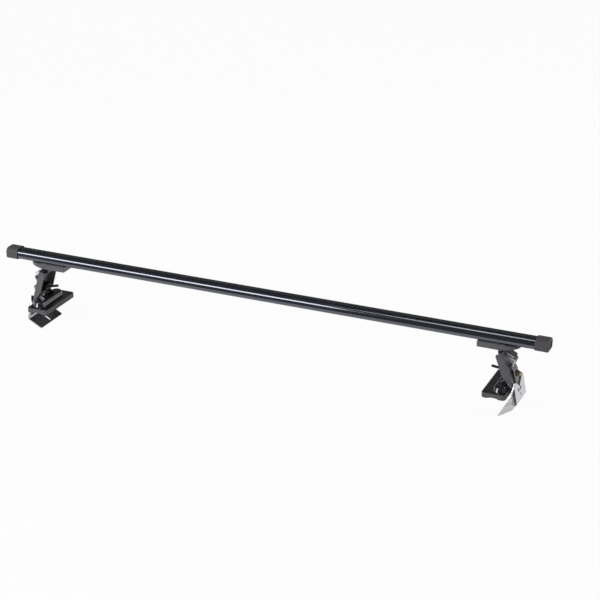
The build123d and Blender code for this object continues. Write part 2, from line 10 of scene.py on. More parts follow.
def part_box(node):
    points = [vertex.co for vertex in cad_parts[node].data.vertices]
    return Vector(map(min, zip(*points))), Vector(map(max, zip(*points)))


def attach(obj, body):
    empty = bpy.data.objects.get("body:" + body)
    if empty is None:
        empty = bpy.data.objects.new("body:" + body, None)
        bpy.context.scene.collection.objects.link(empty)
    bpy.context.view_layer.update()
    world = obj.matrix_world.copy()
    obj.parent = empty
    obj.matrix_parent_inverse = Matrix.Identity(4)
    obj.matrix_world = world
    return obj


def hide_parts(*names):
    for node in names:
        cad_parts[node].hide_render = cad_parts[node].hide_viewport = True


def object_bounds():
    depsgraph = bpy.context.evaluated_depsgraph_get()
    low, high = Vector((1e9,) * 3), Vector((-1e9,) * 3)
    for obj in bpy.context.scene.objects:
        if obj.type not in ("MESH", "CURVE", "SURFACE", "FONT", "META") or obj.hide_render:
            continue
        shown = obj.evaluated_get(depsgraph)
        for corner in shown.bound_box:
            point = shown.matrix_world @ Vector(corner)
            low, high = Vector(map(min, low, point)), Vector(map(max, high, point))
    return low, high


bl_info = {
    "name": "Roof Rack Crossbar",
    "version": (1, 0, 0),
    "blender": (4, 5, 0),
    "location": "View3D > Sidebar > Crossbar",
    "description": "Dresses a roof rack crossbar in paint, zinc, plastic and rubber",
    "category": "Object",
}

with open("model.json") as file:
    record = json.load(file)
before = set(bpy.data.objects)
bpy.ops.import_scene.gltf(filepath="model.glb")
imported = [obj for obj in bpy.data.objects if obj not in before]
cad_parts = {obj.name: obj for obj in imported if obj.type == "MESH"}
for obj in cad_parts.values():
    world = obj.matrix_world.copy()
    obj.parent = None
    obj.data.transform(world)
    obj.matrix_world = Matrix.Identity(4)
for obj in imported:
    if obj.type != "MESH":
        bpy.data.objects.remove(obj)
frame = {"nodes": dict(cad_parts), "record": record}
CAD_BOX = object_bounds()
SIDES = ("left", "right")
MM = 0.001

# Meshes: welded distance, and the angles at which an edge counts as flat, is rounded or stays sharp
WELD = 0.002 * MM
FLAT_ANGLE = radians(0.5)
BEVEL_ANGLE = radians(35)
BEVEL_SEGMENTS = 2
SHARP_ANGLE = radians(32)
THREAD_SHARP_ANGLE = radians(28)

# Steps round the bar's section
LOW_CORNER_STEPS = 10
SIDE_STEPS = 10
TOP_CORNER_STEPS = 16

# Clamp bolts: the thread's points and tail, the flange's shares of its own size, the hexagon's chamfer
THREAD_POINTS = 28
RINGS_PER_PITCH = 6
RUN_IN_PITCHES = 2
TAIL_TAPER = 0.35
FLANGE_POINTS = 40
FLANGE_UNDERSIDE = 0.9
FLANGE_RIM = (0.15, 0.5)
HEXAGON_POINTS = 48
CHAMFER_CIRCLE = 0.475
CHAMFER_SLOPE = 0.577

# Finishes: noise detail, relief, the pointiness of rubbed edges, and the sheared faces of a strap
PATCH_DETAIL = 4.0
GRAIN_DETAIL = 2.0
RELIEF_DEPTH = 0.05 * MM
RUB_START = 0.53
RUB_FULL = 0.62
CUT_FACING = 0.8
STRAP_HALF_WIDTH = 12.6 * MM
MID_GREY = (0.5, 0.5, 0.5, 1)
WHITE = (1, 1, 1, 1)
RUBBED_PAINT = (0.32, 0.32, 0.34, 1)
RUBBED_BLACK = (0.12, 0.12, 0.13, 1)
RUBBED_ZINC = (0.75, 0.70, 0.55, 1)
RUBBED_MOULDING = (0.13, 0.13, 0.135, 1)
BARE_METAL = (0.72, 0.72, 0.75, 1)
BAR_GLOSS_TINT = (0.82, 0.85, 1, 1)

# Stage: the floor, the camera's sensor, and the dark panels that the gloss reflects: flags out of the
# picture, and painted dark reflections lying on the floor in the picture
FLOOR_HALF = 12.0
FLOOR_COLOR = (0.9, 0.9, 0.9, 1)
FLOOR_ROUGHNESS = 0.9
FLOOR_WHITE_SHARE = 0.95
SENSOR_WIDTH = 36.0
CLIP_END = 50.0
FLAG_REACH = 5.0
FLAG_FRONT, FLAG_BACK = -5.0, 2.4
FLAG_FOOT, FLAG_HEAD = 0.1, 4.2
DEEP_SHADE = 1 / 16


class FinishSettings(bpy.types.PropertyGroup):
    """Colours of the finishes."""

    bar_paint: bpy.props.FloatVectorProperty(
        name="Bar paint", description="Gloss black of the bar and hoods",
        subtype="COLOR", size=4, min=0, max=1, default=(0.012, 0.013, 0.017, 1))
    leg_paint: bpy.props.FloatVectorProperty(
        name="Leg paint", description="Satin grey of the saddles, legs, arms and pins",
        subtype="COLOR", size=4, min=0, max=1, default=(0.105, 0.100, 0.112, 1))
    inner_paint: bpy.props.FloatVectorProperty(
        name="Inner paint", description="Satin black of the inner steel, pad studs and bolt threads",
        subtype="COLOR", size=4, min=0, max=1, default=(0.016, 0.016, 0.018, 1))
    zinc: bpy.props.FloatVectorProperty(
        name="Zinc", description="Bright zinc plating of the hooks, rivets and saddle clamps",
        subtype="COLOR", size=4, min=0, max=1, default=(0.56, 0.56, 0.59, 1))
    yellow_zinc: bpy.props.FloatVectorProperty(
        name="Yellow zinc", description="Yellow passivated zinc of the bolt heads and washers",
        subtype="COLOR", size=4, min=0, max=1, default=(0.25, 0.20, 0.11, 1))
    cap_plastic: bpy.props.FloatVectorProperty(
        name="Cap plastic", description="Moulded plastic of the end caps",
        subtype="COLOR", size=4, min=0, max=1, default=(0.092, 0.084, 0.095, 1))
    rubber: bpy.props.FloatVectorProperty(
        name="Rubber", description="Rubber of the pads and liners",
        subtype="COLOR", size=4, min=0, max=1, default=(0.12, 0.118, 0.125, 1))


class DetailSettings(bpy.types.PropertyGroup):
    """Sizes of the details that the finish adds."""

    bar_top_corner: bpy.props.FloatProperty(
        name="Bar top corner", description="Radius of the bar's upper corners",
        unit="LENGTH", default=9.5 * MM, min=0)
    bar_low_corner: bpy.props.FloatProperty(
        name="Bar low corner", description="Radius of the bar's lower corners",
        unit="LENGTH", default=5.3 * MM, min=0)
    bar_crown: bpy.props.FloatProperty(
        name="Bar crown", description="Slope of the bar's bulging sides where they meet its corners",
        subtype="ANGLE", default=radians(10), min=radians(1))
    bar_wall: bpy.props.FloatProperty(
        name="Bar wall", description="Wall of the bar's tube", unit="LENGTH", default=1.6 * MM, min=0)
    bar_slot: bpy.props.FloatProperty(
        name="Bar slot", description="Width of the slot along the bar's underside",
        unit="LENGTH", default=11.0 * MM, min=0)
    sheet_edge: bpy.props.FloatProperty(
        name="Sheet edge", description="Rounding on the edges of the steel sheet",
        unit="LENGTH", default=0.3 * MM, min=0)
    moulded_edge: bpy.props.FloatProperty(
        name="Moulded edge", description="Rounding on the edges of plastic and rubber",
        unit="LENGTH", default=0.8 * MM, min=0)
    thread_pitch: bpy.props.FloatProperty(
        name="Thread pitch", description="Pitch of the clamp bolt's thread",
        unit="LENGTH", default=1.0 * MM, min=0.2 * MM)
    thread_depth: bpy.props.FloatProperty(
        name="Thread depth", description="Depth of the clamp bolt's thread",
        unit="LENGTH", default=0.5 * MM, min=0)
    bolt_diameter: bpy.props.FloatProperty(
        name="Bolt diameter", description="Outer diameter of the clamp bolt's thread",
        unit="LENGTH", default=6.0 * MM, min=0)
    bolt_head: bpy.props.FloatProperty(
        name="Bolt head", description="Width of the bolt's hexagon across its flats",
        unit="LENGTH", default=10.0 * MM, min=0)
    bolt_head_height: bpy.props.FloatProperty(
        name="Bolt head height", description="Height of the bolt's hexagon",
        unit="LENGTH", default=4.0 * MM, min=0)
    bolt_flange: bpy.props.FloatProperty(
        name="Bolt flange", description="Diameter of the flange under the bolt's head",
        unit="LENGTH", default=12.6 * MM, min=0)
    bolt_flange_height: bpy.props.FloatProperty(
        name="Bolt flange height", description="Height of the flange under the bolt's head",
        unit="LENGTH", default=1.2 * MM, min=0)


class StudioSettings(bpy.types.PropertyGroup):
    """Camera and light levels."""

    camera_place: bpy.props.FloatVectorProperty(
        name="Camera place", description="Camera position from the middle of the bar",
        unit="LENGTH", size=3, default=(1.3665, -3.0505, 1.3826))
    camera_turn: bpy.props.FloatProperty(
        name="Camera turn", description="Heading of the camera to the left of straight across the bar",
        subtype="ANGLE", default=0.39757)
    camera_pitch: bpy.props.FloatProperty(
        name="Camera pitch", description="Angle that the camera looks down",
        subtype="ANGLE", default=0.39519)
    camera_roll: bpy.props.FloatProperty(
        name="Camera roll", description="Roll of the camera",
        subtype="ANGLE", default=0.0124)
    camera_lens: bpy.props.FloatProperty(
        name="Lens", description="Focal length on a sensor 36 mm wide",
        unit="CAMERA", default=100.83)
    softbox_power: bpy.props.FloatProperty(
        name="Softbox power", description="Watts of the large softbox in front", default=66.0, min=0)
    top_power: bpy.props.FloatProperty(
        name="Top power", description="Watts of the small lamp overhead", default=9.0, min=0)
    rim_power: bpy.props.FloatProperty(
        name="Rim power", description="Watts of the lamp behind on the right", default=16.0, min=0)
    sky_level: bpy.props.FloatProperty(
        name="Sky level", description="Strength of the studio's even light", default=0.38, min=0)
    # Also the grey of the painted dark reflections lying on the floor
    flag_and_reflection_tone: bpy.props.FloatProperty(
        name="Flag and reflection tone", description="Grey of the flags that the gloss reflects",
        default=0.16, min=0, max=1)
    end_tone: bpy.props.FloatProperty(
        name="End tone", description="Grey of the flags beyond the bar's ends",
        default=0.5, min=0, max=1)


def new_group(name, inputs, outputs):
    """Make an empty shader node group with its sockets, and return it with its two end nodes."""
    group = bpy.data.node_groups.new(name, "ShaderNodeTree")
    for label, kind, default in inputs:
        socket = group.interface.new_socket(name=label, in_out="INPUT", socket_type=kind)
        socket.default_value = default
    for label, kind in outputs:
        group.interface.new_socket(name=label, in_out="OUTPUT", socket_type=kind)
    return group, group.nodes.new("NodeGroupInput"), group.nodes.new("NodeGroupOutput")


def math_node(tree, operation, *terms):
    """Add a math node whose terms are sockets or numbers, and return its result."""
    node = tree.nodes.new("ShaderNodeMath")
    node.operation = operation
    for place, term in zip(node.inputs, terms):
        if isinstance(term, bpy.types.NodeSocket):
            tree.links.new(term, place)
        else:
            place.default_value = term
    return node.outputs[0]


def noise_node(tree, place, scale, detail):
    """Add a noise whose scale is a socket, and return its value."""
    noise = tree.nodes.new("ShaderNodeTexNoise")
    noise.inputs["Detail"].default_value = detail
    tree.links.new(place, noise.inputs["Vector"])
    tree.links.new(scale, noise.inputs["Scale"])
    return noise.outputs["Fac"]


def mix_colors(tree, factor, first, second):
    """Add a node that mixes two colours, and return its result."""
    mix = tree.nodes.new("ShaderNodeMix")
    mix.data_type = "RGBA"
    tree.links.new(factor, mix.inputs["Factor"])
    tree.links.new(first, mix.inputs["A"])
    tree.links.new(second, mix.inputs["B"])
    return mix.outputs["Result"]


def grain_group():
    """Fine mottling of a surface: a tint, a roughness and a height that vary over it."""
    group, start, end = new_group(
        "Surface grain",
        [("Color", "NodeSocketColor", MID_GREY), ("Patch Scale", "NodeSocketFloat", 30.0),
         ("Grain Scale", "NodeSocketFloat", 1500.0), ("Contrast", "NodeSocketFloat", 0.2),
         ("Roughness", "NodeSocketFloat", 0.4), ("Roughness Spread", "NodeSocketFloat", 0.1)],
        [("Color", "NodeSocketColor"), ("Roughness", "NodeSocketFloat"), ("Height", "NodeSocketFloat")])
    asked = start.outputs
    place = group.nodes.new("ShaderNodeTexCoord").outputs["Object"]
    patch = noise_node(group, place, asked["Patch Scale"], PATCH_DETAIL)
    fine = noise_node(group, place, asked["Grain Scale"], GRAIN_DETAIL)
    centred = math_node(group, "SUBTRACT", math_node(group, "ADD", patch, fine), 1.0)
    swing = math_node(group, "MULTIPLY_ADD", centred, asked["Contrast"], 1.0)
    rough = math_node(group, "MULTIPLY_ADD", centred, asked["Roughness Spread"], asked["Roughness"])
    tint = group.nodes.new("ShaderNodeVectorMath")
    tint.operation = "SCALE"
    group.links.new(asked["Color"], tint.inputs[0])
    group.links.new(swing, tint.inputs["Scale"])
    for result, label in ((tint.outputs["Vector"], "Color"), (rough, "Roughness"), (fine, "Height")):
        group.links.new(result, end.inputs[label])
    return group


def edge_group():
    """Lighter colour where an edge is rubbed."""
    group, start, end = new_group(
        "Rubbed edges",
        [("Color", "NodeSocketColor", MID_GREY), ("Rubbed Color", "NodeSocketColor", (0.6, 0.6, 0.6, 1)),
         ("Amount", "NodeSocketFloat", 0.5)],
        [("Color", "NodeSocketColor")])
    shape = group.nodes.new("ShaderNodeNewGeometry")
    ramp = group.nodes.new("ShaderNodeMapRange")
    ramp.inputs["From Min"].default_value = RUB_START
    ramp.inputs["From Max"].default_value = RUB_FULL
    group.links.new(shape.outputs["Pointiness"], ramp.inputs["Value"])
    amount = math_node(group, "MULTIPLY", ramp.outputs["Result"], start.outputs["Amount"])
    color = mix_colors(group, amount, start.outputs["Color"], start.outputs["Rubbed Color"])
    group.links.new(color, end.inputs["Color"])
    return group


def cut_group():
    """Bare metal on the sheared sides of a strap: faces across the bar, close to its middle line."""
    group, start, end = new_group(
        "Cut edges",
        [("Color", "NodeSocketColor", MID_GREY), ("Cut Color", "NodeSocketColor", (0.8, 0.8, 0.8, 1)),
         ("Half Width", "NodeSocketFloat", STRAP_HALF_WIDTH)],
        [("Color", "NodeSocketColor"), ("Mask", "NodeSocketFloat")])
    place = group.nodes.new("ShaderNodeTexCoord")
    across = {}
    for output in ("Normal", "Object"):
        split = group.nodes.new("ShaderNodeSeparateXYZ")
        group.links.new(place.outputs[output], split.inputs["Vector"])
        across[output] = math_node(group, "ABSOLUTE", split.outputs["Y"])
    facing = math_node(group, "GREATER_THAN", across["Normal"], CUT_FACING)
    near = math_node(group, "LESS_THAN", across["Object"], start.outputs["Half Width"])
    mask = math_node(group, "MULTIPLY", facing, near)
    color = mix_colors(group, mask, start.outputs["Color"], start.outputs["Cut Color"])
    group.links.new(color, end.inputs["Color"])
    group.links.new(mask, end.inputs["Mask"])
    return group


def place_group(tree, name, maker, values):
    """Place a shared node group, made the first time it is asked for, with values of its own."""
    node = tree.nodes.new("ShaderNodeGroup")
    node.node_tree = bpy.data.node_groups.get(name) or maker()
    for label, value in values.items():
        node.inputs[label].default_value = value
    return node


def finish_material(name, color, roughness, metallic=0.0, contrast=0.2, spread=0.1, patch=30.0,
                    grain=1500.0, bump=0.1, rub=0.0, rub_color=MID_GREY, specular=0.5, ior=1.5,
                    gloss_tint=WHITE, cut_color=None):
    """A finish of one colour with grain, lighter edges where it is rubbed, and bare metal where it is cut."""
    made = bpy.data.materials.get(name)
    if made:
        return made
    material = bpy.data.materials.new(name)
    material.use_nodes = True
    tree = material.node_tree
    shader = tree.nodes["Principled BSDF"]
    shader.inputs["Metallic"].default_value = metallic
    shader.inputs["Specular IOR Level"].default_value = specular
    shader.inputs["IOR"].default_value = ior
    shader.inputs["Specular Tint"].default_value = gloss_tint
    surface = place_group(tree, "Surface grain", grain_group, {
        "Color": color, "Patch Scale": patch, "Grain Scale": grain, "Contrast": contrast,
        "Roughness": roughness, "Roughness Spread": spread})
    tint = surface.outputs["Color"]
    if rub:
        edges = place_group(tree, "Rubbed edges", edge_group, {"Rubbed Color": rub_color, "Amount": rub})
        tree.links.new(tint, edges.inputs["Color"])
        tint = edges.outputs["Color"]
    if cut_color:
        cut = place_group(tree, "Cut edges", cut_group, {"Cut Color": cut_color})
        tree.links.new(tint, cut.inputs["Color"])
        tree.links.new(cut.outputs["Mask"], shader.inputs["Metallic"])
        tint = cut.outputs["Color"]
    relief = tree.nodes.new("ShaderNodeBump")
    relief.inputs["Strength"].default_value = bump
    relief.inputs["Distance"].default_value = RELIEF_DEPTH
    tree.links.new(surface.outputs["Height"], relief.inputs["Height"])
    tree.links.new(tint, shader.inputs["Base Color"])
    tree.links.new(surface.outputs["Roughness"], shader.inputs["Roughness"])
    tree.links.new(relief.outputs["Normal"], shader.inputs["Normal"])
    return material


def finishes():
    """The finish of each material slot, by slot name, and of the hoods and the sheared straps."""
    colors = bpy.context.scene.crossbar_finish
    return {
        "gloss_black": finish_material(
            "Gloss black paint", colors.bar_paint, roughness=0.1, contrast=0.25, spread=0.01, patch=12,
            grain=700, bump=0.001, specular=1.0, ior=1.7, gloss_tint=BAR_GLOSS_TINT),
        "hood_black": finish_material(
            "Hood black paint", colors.bar_paint, roughness=0.18, contrast=0.25, spread=0.06, patch=40,
            grain=900, bump=0.02, specular=1.0, ior=1.6),
        "satin_grey": finish_material(
            "Satin grey paint", colors.leg_paint, roughness=0.36, contrast=0.2, patch=40, bump=0.15,
            rub=0.5, rub_color=RUBBED_PAINT),
        "sheared_grey": finish_material(
            "Satin grey paint with cut edges", colors.leg_paint, roughness=0.36, contrast=0.2, patch=40,
            bump=0.15, rub=0.5, rub_color=RUBBED_PAINT, cut_color=BARE_METAL),
        "satin_black": finish_material(
            "Satin black paint", colors.inner_paint, roughness=0.32, patch=40, bump=0.15,
            rub=0.4, rub_color=RUBBED_BLACK),
        "zinc": finish_material(
            "Bright zinc", colors.zinc, roughness=0.3, metallic=1.0, contrast=0.16, spread=0.08, patch=60,
            grain=500, bump=0.02),
        "yellow_zinc": finish_material(
            "Yellow zinc", colors.yellow_zinc, roughness=0.32, metallic=1.0, contrast=0.4, spread=0.2,
            patch=150, grain=1200, bump=0.12, rub=0.4, rub_color=RUBBED_ZINC),
        "cap_plastic": finish_material(
            "Cap plastic", colors.cap_plastic, roughness=0.6, contrast=0.25, patch=50, grain=1800,
            bump=0.3, rub=0.3, rub_color=RUBBED_MOULDING, specular=0.3),
        "rubber": finish_material(
            "Rubber", colors.rubber, roughness=0.8, contrast=0.3, patch=60, grain=1300,
            bump=0.35, rub=0.35, rub_color=RUBBED_MOULDING, specular=0.12),
    }


def slot_of(node):
    """The record's material slot of a node."""
    for subpart in frame["record"]["subparts"]:
        if subpart["node"] == node:
            return subpart["material_slot"]
    raise RuntimeError(f"no material slot for {node}")


def body_of(node):
    """The body that a node belongs to."""
    for body, nodes in frame["record"]["behaviour"]["bodies"].items():
        if node in nodes:
            return body
    raise RuntimeError(f"no body for {node}")


def add_piece(name, mesh, node, slot, finish=None):
    """Link a mesh that takes a solid's place, riding with its body in its slot's finish or another one."""
    mesh.materials.append(finishes()[finish or slot])
    piece = bpy.data.objects.new(name, mesh)
    bpy.context.scene.collection.objects.link(piece)
    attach(piece, body_of(node))
    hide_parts(node)
    weighted = piece.modifiers.new("Weighted normals", "WEIGHTED_NORMAL")
    weighted.keep_sharp = True


def smooth_mesh(name, shape, sharp_angle=SHARP_ANGLE):
    """Make a mesh from a shape, smooth but for its sharp edges."""
    mesh = bpy.data.meshes.new(name)
    shape.to_mesh(mesh)
    shape.free()
    mesh.shade_smooth()
    mesh.set_sharp_from_angle(angle=sharp_angle)
    return mesh


def soften(node, radius, finish=None):
    """Replace a solid with a copy whose sharp edges are rounded."""
    shape = bmesh.new()
    shape.from_mesh(frame["nodes"][node].data)
    bmesh.ops.remove_doubles(shape, verts=shape.verts, dist=WELD)
    bmesh.ops.dissolve_limit(shape, angle_limit=FLAT_ANGLE, verts=shape.verts, edges=shape.edges)
    sharp = [edge for edge in shape.edges if edge.is_manifold and edge.calc_face_angle() > BEVEL_ANGLE]
    bmesh.ops.bevel(shape, geom=sharp, offset=radius, segments=BEVEL_SEGMENTS, profile=0.5, affect="EDGES",
                    clamp_overlap=False, offset_type="OFFSET")
    bmesh.ops.triangulate(shape, faces=[face for face in shape.faces if len(face.verts) > 4])
    name = f"{node}_finished"
    add_piece(name, smooth_mesh(name, shape), node, slot_of(node), finish)


def both_sides(names, radius, finish=None):
    """Soften each named piece on both sides."""
    for side in SIDES:
        for name in names:
            soften(f"{name}_{side}", radius, finish)


def arc_points(middle, radius, start, stop, count):
    """Points and outward directions along an arc of the bar's section."""
    points = []
    for index in range(count + 1):
        angle = start + (stop - start) * index / count
        out = Vector((-cos(angle), sin(angle)))
        points.append((middle + radius * out, out))
    return points


def bar_side(detail, half_width, half_height):
    """Points and outward directions of the front half of the bar's section, from its slot to its top."""
    top, low, crown = detail.bar_top_corner, detail.bar_low_corner, detail.bar_crown
    side_height = 2 * half_height - (top + low) * (1 - sin(crown))
    bulge = side_height / (2 * sin(crown))
    meet = bulge * (1 - cos(crown)) - half_width
    side_middle = Vector((bulge - half_width, low * (1 - sin(crown)) - half_height + bulge * sin(crown)))
    low_middle = Vector((meet + low * cos(crown), low - half_height))
    top_middle = Vector((meet + top * cos(crown), half_height - top))
    slot_edge = [(Vector((-detail.bar_slot / 2, -half_height)), Vector((0, -1)))]
    return (slot_edge + arc_points(low_middle, low, -pi / 2, -crown, LOW_CORNER_STEPS)
            + arc_points(side_middle, bulge, -crown, crown, SIDE_STEPS)[1:]
            + arc_points(top_middle, top, crown, pi / 2, TOP_CORNER_STEPS)[1:])


class CROSSBAR_OT_bar(bpy.types.Operator):
    """Roll the bar's tube with its bulging sides and the slot underneath"""

    bl_idname = "crossbar.bar"
    bl_label = "Bar"

    def execute(self, context):
        detail = context.scene.crossbar_detail
        low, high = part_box("bar")
        front = bar_side(detail, high[1], high[2])
        back = [(Vector((-spot.x, spot.y)), Vector((-out.x, out.y))) for spot, out in reversed(front)]
        outline = front + back
        shape = bmesh.new()
        rows = []
        for end in (low[0], high[0]):
            for depth in (0, detail.bar_wall):
                spots = [spot - depth * out for spot, out in outline]
                rows.append([shape.verts.new((end, spot.x, spot.y)) for spot in spots])
        outer_start, inner_start, outer_end, inner_end = rows
        for one, two in ((outer_start, outer_end), (inner_end, inner_start),
                         (inner_start, outer_start), (outer_end, inner_end)):
            for index in range(len(outline) - 1):
                shape.faces.new((one[index], two[index], two[index + 1], one[index + 1]))
        for index in (0, -1):
            shape.faces.new([row[index] for row in (outer_start, outer_end, inner_end, inner_start)])
        bmesh.ops.recalc_face_normals(shape, faces=shape.faces)
        add_piece("bar_finished", smooth_mesh("bar_finished", shape), "bar", slot_of("bar"))
        return {"FINISHED"}


class CROSSBAR_OT_end_caps(bpy.types.Operator):
    """Finish the moulded end caps"""

    bl_idname = "crossbar.end_caps"
    bl_label = "End caps"

    def execute(self, context):
        both_sides(("end_cap",), context.scene.crossbar_detail.moulded_edge / 2)
        return {"FINISHED"}


class CROSSBAR_OT_saddles(bpy.types.Operator):
    """Finish the saddles with their liners, clamps and hangers"""

    bl_idname = "crossbar.saddles"
    bl_label = "Saddles"

    def execute(self, context):
        detail = context.scene.crossbar_detail
        both_sides(("saddle", "saddle_liner", "hanger"), detail.moulded_edge / 2)
        both_sides(("clamp_plate", "clamp_screws"), detail.sheet_edge)
        return {"FINISHED"}


class CROSSBAR_OT_legs(bpy.types.Operator):
    """Finish the pressed legs with their pins and nut brackets"""

    bl_idname = "crossbar.legs"
    bl_label = "Legs"

    def execute(self, context):
        detail = context.scene.crossbar_detail
        both_sides(("leg",), detail.sheet_edge, "sheared_grey")
        both_sides(("leg_pin", "pad_pin", "swivel_bracket"), detail.sheet_edge)
        return {"FINISHED"}


class CROSSBAR_OT_hooks(bpy.types.Operator):
    """Finish the painted arms and the zinc-plated hook plates"""

    bl_idname = "crossbar.hooks"
    bl_label = "Hooks"

    def execute(self, context):
        detail = context.scene.crossbar_detail
        both_sides(("arm",), detail.sheet_edge, "sheared_grey")
        both_sides(("hook", "hook_rivets"), detail.sheet_edge)
        return {"FINISHED"}


def ring(shape, place, count, radius_at, height_at):
    """One ring of points round an axis; the radius and height may change with the angle."""
    points = []
    for index in range(count):
        angle = 2 * pi * index / count
        radius = radius_at(angle)
        spot = Vector((radius * cos(angle), radius * sin(angle), height_at(angle)))
        points.append(shape.verts.new(place @ spot))
    return points


def skin(shape, rings):
    """Join rings of equal count with faces, and close both ends."""
    for lower, upper in zip(rings, rings[1:]):
        for index, point in enumerate(lower):
            following = (index + 1) % len(lower)
            shape.faces.new((point, lower[following], upper[following], upper[index]))
    shape.faces.new(list(reversed(rings[0])))
    shape.faces.new(rings[-1])


def bolt_axis(side):
    """Frame of a clamp bolt at its tail's end, with z along the bolt to its head, and the bolt's length."""
    joint = next(j for j in frame["record"]["behaviour"]["joints"] if j["name"] == f"bolt_turn_{side}")
    seat, axis = Vector(joint["pos_m"]), Vector(joint["axis"]).normalized()
    points = [vertex.co for vertex in frame["nodes"][f"clamp_bolt_{side}"].data.vertices]
    along = [(point - seat).dot(axis) for point in points]
    across = Vector((0, 1, 0))
    turn = Matrix((across, axis.cross(across), axis)).transposed().to_4x4()
    return Matrix.Translation(seat + axis * min(along)) @ turn, max(along) - min(along)


def hexagon(flats, angle):
    """Distance from the middle of a hexagon to its side at an angle."""
    return flats / 2 / cos((angle + pi / 6) % (pi / 3) - pi / 6)


class CROSSBAR_OT_bolts(bpy.types.Operator):
    """Cut the threads of the clamp bolts, and finish their washers and nut blocks"""

    bl_idname = "crossbar.bolts"
    bl_label = "Clamp bolts"

    def execute(self, context):
        detail = context.scene.crossbar_detail
        both_sides(("clamp_washer", "nut_block"), detail.sheet_edge)
        for side in SIDES:
            place, length = bolt_axis(side)
            head_at = length - detail.bolt_head_height
            flange_at = head_at - detail.bolt_flange_height
            node = f"clamp_bolt_{side}"
            thread = self.thread(detail, place, flange_at)
            head = self.head(detail, place, flange_at, head_at, length)
            for part, shape, slot in (("thread", thread, "satin_black"), ("head", head, slot_of(node))):
                name = f"{node}_{part}"
                add_piece(name, smooth_mesh(name, shape, THREAD_SHARP_ANGLE), node, slot)
        return {"FINISHED"}

    def thread(self, detail, place, flange_at):
        """The bolt's shank, with a cut thread up to its flange."""
        outer = detail.bolt_diameter / 2
        shape = bmesh.new()
        steps = int(flange_at / detail.thread_pitch * RINGS_PER_PITCH)
        rings = []
        for step in range(steps + 1):
            height = flange_at * step / steps
            lead = min(1.0, height / (RUN_IN_PITCHES * detail.thread_pitch))
            point = TAIL_TAPER * outer * max(0.0, 1 - height / detail.thread_pitch)

            def radius_at(angle, height=height, lead=lead, point=point):
                phase = (height / detail.thread_pitch - angle / (2 * pi)) % 1.0
                return outer - point - detail.thread_depth * (1 - lead + lead * abs(2 * phase - 1))

            rings.append(ring(shape, place, THREAD_POINTS, radius_at, lambda angle, height=height: height))
        skin(shape, rings)
        return shape

    def head(self, detail, place, flange_at, head_at, length):
        """The bolt's flange and chamfered hexagon."""
        shape = bmesh.new()
        wide = detail.bolt_flange / 2
        rim_low, rim_high = (flange_at + share * detail.bolt_flange_height for share in FLANGE_RIM)
        profile = ((wide * FLANGE_UNDERSIDE, flange_at), (wide, rim_low), (wide, rim_high),
                   (detail.bolt_head / 2, head_at))
        skin(shape, [ring(shape, place, FLANGE_POINTS, lambda angle, r=r: r, lambda angle, z=z: z)
                     for r, z in profile])
        flats, crown = detail.bolt_head, CHAMFER_CIRCLE * detail.bolt_head

        def side_radius(angle):
            return hexagon(flats, angle)

        def shoulder(angle):
            return length - (side_radius(angle) - crown) * CHAMFER_SLOPE

        skin(shape, [ring(shape, place, HEXAGON_POINTS, side_radius, lambda angle: head_at),
                     ring(shape, place, HEXAGON_POINTS, side_radius, shoulder),
                     ring(shape, place, HEXAGON_POINTS, lambda angle: crown, lambda angle: length)])
        return shape


class CROSSBAR_OT_feet(bpy.types.Operator):
    """Finish the hoods and rubber pads"""

    bl_idname = "crossbar.feet"
    bl_label = "Feet"

    def execute(self, context):
        detail = context.scene.crossbar_detail
        both_sides(("hood",), detail.sheet_edge, "hood_black")
        both_sides(("pad_studs",), detail.sheet_edge)
        both_sides(("pad",), detail.moulded_edge)
        return {"FINISHED"}


def area_lamp(name, place, target, size, power):
    """A rectangular softbox at a place, pointing at a target."""
    lamp = bpy.data.lights.new(name, "AREA")
    lamp.shape = "RECTANGLE"
    lamp.size, lamp.size_y = size
    lamp.energy = power
    softbox = bpy.data.objects.new(name, lamp)
    softbox.location = place
    softbox.rotation_euler = (Vector(target) - Vector(place)).to_track_quat("-Z", "Y").to_euler()
    bpy.context.scene.collection.objects.link(softbox)


def studio_camera(settings):
    """The camera at the photograph's viewing angle."""
    turn, pitch, roll = settings.camera_turn, settings.camera_pitch, settings.camera_roll
    ahead = Vector((-sin(turn) * cos(pitch), cos(turn) * cos(pitch), -sin(pitch)))
    right = Vector((cos(turn), sin(turn), 0))
    up = right.cross(ahead)
    right, up = right * cos(roll) + up * sin(roll), up * cos(roll) - right * sin(roll)
    lens = bpy.data.cameras.new("Studio camera")
    lens.lens = settings.camera_lens
    lens.sensor_width = SENSOR_WIDTH
    lens.clip_end = CLIP_END
    camera = bpy.data.objects.new("Studio camera", lens)
    camera.matrix_world = Matrix((right, up, -ahead)).transposed().to_4x4()
    camera.location = settings.camera_place
    bpy.context.scene.collection.objects.link(camera)
    bpy.context.scene.camera = camera


def seen_directly(tree):
    """One where the camera, a gloss or a clear surface sees the thing straight on."""
    path = tree.nodes.new("ShaderNodeLightPath")
    seen = path.outputs["Is Camera Ray"]
    for kind in ("Is Glossy Ray", "Is Transmission Ray"):
        seen = math_node(tree, "MAXIMUM", seen, path.outputs[kind])
    return seen


def mix_shaders(tree, share, first, second, output):
    """Mix two shaders by a share, and send the mix to an output node."""
    mix = tree.nodes.new("ShaderNodeMixShader")
    tree.links.new(share, mix.inputs["Fac"])
    tree.links.new(first, mix.inputs[1])
    tree.links.new(second, mix.inputs[2])
    tree.links.new(mix.outputs["Shader"], tree.nodes[output].inputs["Surface"])


def stage_panel(name, corners):
    """A flat panel of the stage, with a material of its own, and that material's node tree."""
    mesh = bpy.data.meshes.new(name)
    mesh.from_pydata(corners, [], [(0, 1, 2, 3)])
    panel = bpy.data.objects.new(name, mesh)
    bpy.context.scene.collection.objects.link(panel)
    material = bpy.data.materials.new(name)
    material.use_nodes = True
    mesh.materials.append(material)
    return panel, material.node_tree


